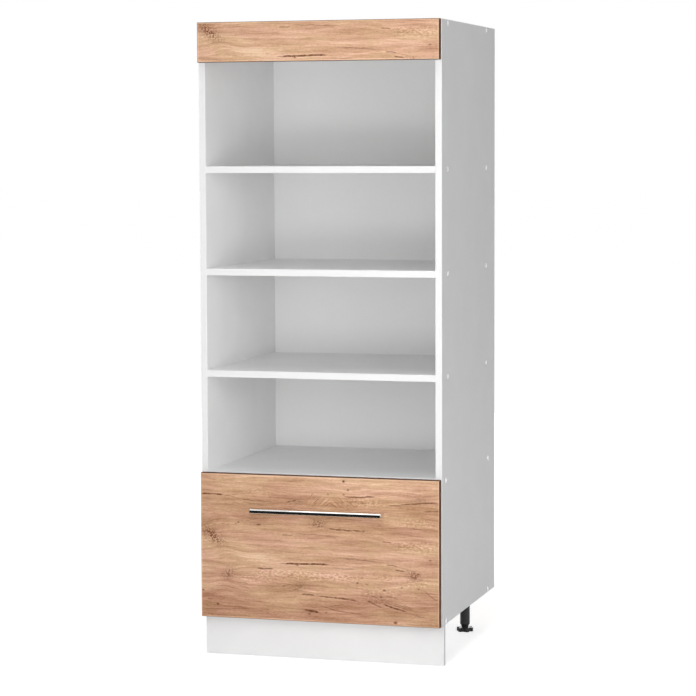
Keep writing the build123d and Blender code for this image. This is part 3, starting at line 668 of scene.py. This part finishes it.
def shade_painted_strip_material():
    """An edge strip with drawn lines along it, painted dark brown as shade where it turns away from
    the front, and pale oak as a painted highlight on its front.
    """
    strip = Surface("shade_painted_strip")
    x, _, z = strip.split(strip.place)
    drawn = strip.noise(strip.join(strip.times(x, 0.03), 0.0, strip.times(z, 0.5)), 1.0, 4.0, 0.6)

    # The strip's front faces -Y, and its rounded edges turn away from there. Where it faces the front
    # it is painted pale as a highlight; elsewhere it is painted dark brown as shade.
    painted_highlight = strip.step(strip.split(strip.normal)[1], -0.985, -0.88, at_low=0.9, at_high=0.0)
    brown = strip.ramp(drawn, list(zip(NOISE_RANGE, STRIP_SHADE_BROWNS)))
    colour = strip.mix(painted_highlight, brown, HIGHLIGHT_OAK)
    return strip.dress(colour, strip.vary(drawn, 0.50, 0.62), drawn, 0.06, specular=0.1)


# Metals

def handle_material():
    """Satin metal with fine lines drawn along X, as the handle's bar runs."""
    satin = Surface("handle_satin")
    x, y, z = satin.split(satin.place)
    stretched = satin.join(satin.times(x, 0.03), satin.times(y, 1.6), satin.times(z, 1.6))
    lines = satin.noise(stretched, 1.0, 4.0, 0.6)
    blotch = satin.vary(satin.noise(satin.place, 0.06))
    colour = satin.mix(blotch, (0.7912, 0.8004, 0.782), (0.86, 0.87, 0.85))
    return satin.dress(colour, satin.vary(lines, 0.06, 0.13), lines, 0.002, metallic=1.0)


def zinc_material():
    """Bright zinc plate with a faint spangle and a warm and blue drift."""
    zinc = Surface("zinc_plate")
    spangle = zinc.split(zinc.cells(zinc.place, 0.22, output="Color"))[0]
    warmth = zinc.step(zinc.noise(zinc.place, 0.04), 0.35, 0.65)
    plate = zinc.mix(warmth, (0.60, 0.62, 0.66), (0.68, 0.67, 0.63))
    colour = zinc.mix(zinc.times(spangle, 0.25), plate, (0.80, 0.81, 0.82))
    fine = zinc.noise(zinc.place, 1.5, 3.0, 0.6)
    return zinc.dress(colour, zinc.vary(fine, 0.26, 0.38), fine, 0.03, metallic=1.0)


def ball_material():
    """Polished ball steel under a trace of grease."""
    steel = Surface("ball_steel_polished")
    smear = steel.noise(steel.place, 0.7, 3.0, 0.6)
    colour = steel.mix(steel.step(smear, 0.4, 0.7), (0.74, 0.74, 0.76), (0.62, 0.60, 0.55))
    return steel.dress(colour, steel.vary(smear, 0.08, 0.20), smear, 0.01, metallic=1.0)


SHELVES = ("upper_shelf", "middle_shelf", "lower_shelf", "drawer_bay_shelf")
SCREWS = (
    "board_screws",
    "drawer_box_screws",
    "drawer_front_screws",
    "fascia_bracket_screws",
    "handle_screws",
    "leg_screws",
    "plinth_clip_screws",
    "runner_cabinet_screws",
    "runner_drawer_screws",
)
RUNNER_MEMBERS = ("runner_cabinet_member", "runner_middle_member", "runner_drawer_member")

upright_board = board_material("white_board_upright", 0)
cross_board = board_material("white_board_cross", 1)
lying_board = board_material("white_board_lying", 2)
give(upright_board, "left_side_panel", "right_side_panel", *left_and_right("drawer_side"))
give(cross_board, "drawer_inner_front", "drawer_back")
give(lying_board, "top_panel", *SHELVES, "bottom_panel")
give(board_material("white_board_plinth"), "plinth_board")
give(hardboard_material("hardboard_back", 1, -1.0), "back_panel")
give(hardboard_material("hardboard_bottom", 2, 1.0), "drawer_bottom")
give(white_strip_material(), "carcass_edge_strips", "drawer_edge_strips")
give(cap_material(), "screw_caps")

give(oak_material("oak_drawer_front", "drawer_front", 0.0, 0.06), "drawer_front")
# The top fascia's larger lift than the drawer front's is painted light: the fascia is made lighter as
# if more light fell on it.
give(oak_material("oak_top_fascia", "top_fascia", STRIP_FROM_SHEET, 0.11), "top_fascia")
give(shade_painted_strip_material(), "drawer_front_edge_strips", "top_fascia_edge_strips")
give(handle_material(), "handle_bar", "handle_posts")
give(moulded_plastic("bumper_soft", 0.72, 0.78, 0.30), "drawer_bumpers")

give(zinc_material(), *SCREWS, "fascia_brackets", *left_and_right(*RUNNER_MEMBERS))
give(ball_material(), *left_and_right("outer_balls", "inner_balls"))
cage_plastic = moulded_plastic("cage_moulded", 0.07, 0.10, 0.45)
give(cage_plastic, *left_and_right("outer_ball_cage", "inner_ball_cage"))
leg_plastic = moulded_plastic("leg_moulded", 0.028, 0.040, 0.38, 1.1, 0.08)
feet = left_and_right("foot_front", "foot_rear")
give(leg_plastic, "leg_plates", "leg_tubes", *feet, "plinth_clips")


# Floor, surround, lamps and camera

def seen_directly(graph):
    """1 for rays from the camera, from a mirror or through glass, else 0."""
    path = graph.add("ShaderNodeLightPath").outputs
    direct = graph.math("MAXIMUM", path["Is Camera Ray"], path["Is Glossy Ray"])
    return graph.math("MAXIMUM", direct, path["Is Transmission Ray"])


def matt_sheet(name, corners, faces, surface, shade, roughness):
    """An object of flat faces with no shine, for the studio."""
    mesh = bpy.data.meshes.new(name)
    mesh.from_pydata(corners, [], faces)
    surface.set("Base Color", grey(shade))
    surface.set("Roughness", roughness)
    surface.set("Specular IOR Level", 0.0)
    mesh.materials.append(surface.material)
    sheet = bpy.data.objects.new(name, mesh)
    bpy.context.scene.collection.objects.link(sheet)
    return sheet


def floor(half_size, near, far, near_light, far_light):
    """A plain pale floor that shows as white but keeps the cabinet's shadow near it.

    Where it is seen it has a light of its own, which grows between the distances near and far.
    """
    pale = Surface("floor_pale")
    away = pale.vector("LENGTH", pale.place)
    own_light = pale.step(away, near * MM, far * MM, near_light, far_light)
    pale.set("Emission Color", grey(1.0))
    pale.set("Emission Strength", pale.times(seen_directly(pale), own_light))
    corners = [(x * half_size, y * half_size, 0) for x, y in ((-1, -1), (1, -1), (1, 1), (-1, 1))]
    plane = matt_sheet("floor", corners, [(0, 1, 2, 3)], pale, 0.82, 0.9)


def world(ambient):
    """An even studio surround: white where it is seen, dimmer where it lights."""
    surround = bpy.data.worlds.new("studio")
    surround.use_nodes = True
    bpy.context.scene.world = surround
    graph = Graph(surround.node_tree)
    background = surround.node_tree.nodes["Background"].inputs
    strength = graph.step(seen_directly(graph), 0.0, 1.0, ambient, 1.0, smooth=False)
    graph.put(background["Color"], grey(1.0))
    graph.put(background["Strength"], strength)


def flag(half_width, near, far, lift, top):
    """A black card that lies in front of the cabinet and then stands up. Only reflections see it.

    It gives the handle its dark lower half.
    """
    bend = [(near, lift), (far, lift), (far, top)]
    corners = [(x, y, z) for y, z in bend for x in (-half_width, half_width)]
    faces = [(0, 1, 3, 2), (2, 3, 5, 4)]
    card = matt_sheet("flag", corners, faces, Surface("flag_black"), 0.02, 1.0)
    card.visible_camera = False
    card.visible_diffuse = False
    card.visible_transmission = False
    card.visible_shadow = False


def soft_light(name, place, aim, size, power, mirrored):
    """A large rectangular lamp aimed at a point, which reflections show or leave out."""
    lamp = bpy.data.lights.new(name, "AREA")
    lamp.shape = "RECTANGLE"
    lamp.size, lamp.size_y = size
    lamp.energy = power
    holder = bpy.data.objects.new(name, lamp)
    bpy.context.scene.collection.objects.link(holder)
    holder.rotation_mode = "QUATERNION"
    holder.rotation_quaternion = (Vector(aim) - Vector(place)).to_track_quat("-Z", "Y")
    holder.location = place
    holder.visible_camera = False
    holder.visible_glossy = mirrored


def camera(place, turn, tilt, roll, lens):
    """A level camera that looks to the rear, then turned left, tilted down and rolled."""
    data = bpy.data.cameras.new("camera")
    data.sensor_width = 36.0
    data.lens = lens
    data.clip_start, data.clip_end = 0.1, 100.0
    holder = bpy.data.objects.new("camera", data)
    bpy.context.scene.collection.objects.link(holder)
    turned = Matrix.Rotation(math.radians(turn), 4, "Z")
    tilted = Matrix.Rotation(math.radians(90.0 - tilt), 4, "X")
    rolled = Matrix.Rotation(math.radians(roll), 4, "Z")
    holder.matrix_world = Matrix.Translation(place) @ turned @ tilted @ rolled
    bpy.context.scene.camera = holder


# Each lamp: name, place, aim, width and height, power in watts, and whether reflections show it.
LAMPS = [
    ("right_soft", (3.9, -2.25, 1.8), (0.0, 0.0, 0.8), (2.0, 1.5), 17.0, True),
    ("right_low", (3.2, -3.2, 0.5), (0.0, 0.0, 0.7), (2.0, 0.7), 16.5, False),
    ("front_right", (2.25, -3.9, 1.6), (0.0, 0.0, 0.8), (2.0, 1.5), 18.0, True),
    ("front_low", (0.0, -4.5, 0.35), (0.0, 0.0, 0.6), (2.5, 0.5), 24.5, False),
    ("front_near", (0.27, -1.65, 1.05), (-0.1, 0.0, 0.95), (0.3, 1.5), 12.2, False),
    ("left_soft", (-4.2, 1.0, 1.4), (0.0, 0.0, 0.8), (2.0, 1.5), 47.0, True),
    ("rear_soft", (-1.5, 5.0, 1.2), (0.0, 0.3, 0.8), (4.0, 2.0), 62.0, True),
    ("top_soft", (0.0, -0.8, 4.2), (0.0, 0.0, 0.8), (2.5, 2.5), 42.0, True),
]

floor(half_size=60.0, near=0.6, far=2.2, near_light=0.70, far_light=0.90)
world(ambient=0.12)
flag(half_width=1.6, near=-0.28, far=-1.3, lift=0.01, top=1.2)
for lamp_values in LAMPS:
    soft_light(*lamp_values)

# Where the photograph was taken from, fitted to the cabinet's corners.
camera(place=(1.706, -5.8705, 1.236), turn=16.23, tilt=4.66, roll=-0.21, lens=127.9)
bpy.context.scene.view_settings.view_transform = "Standard"
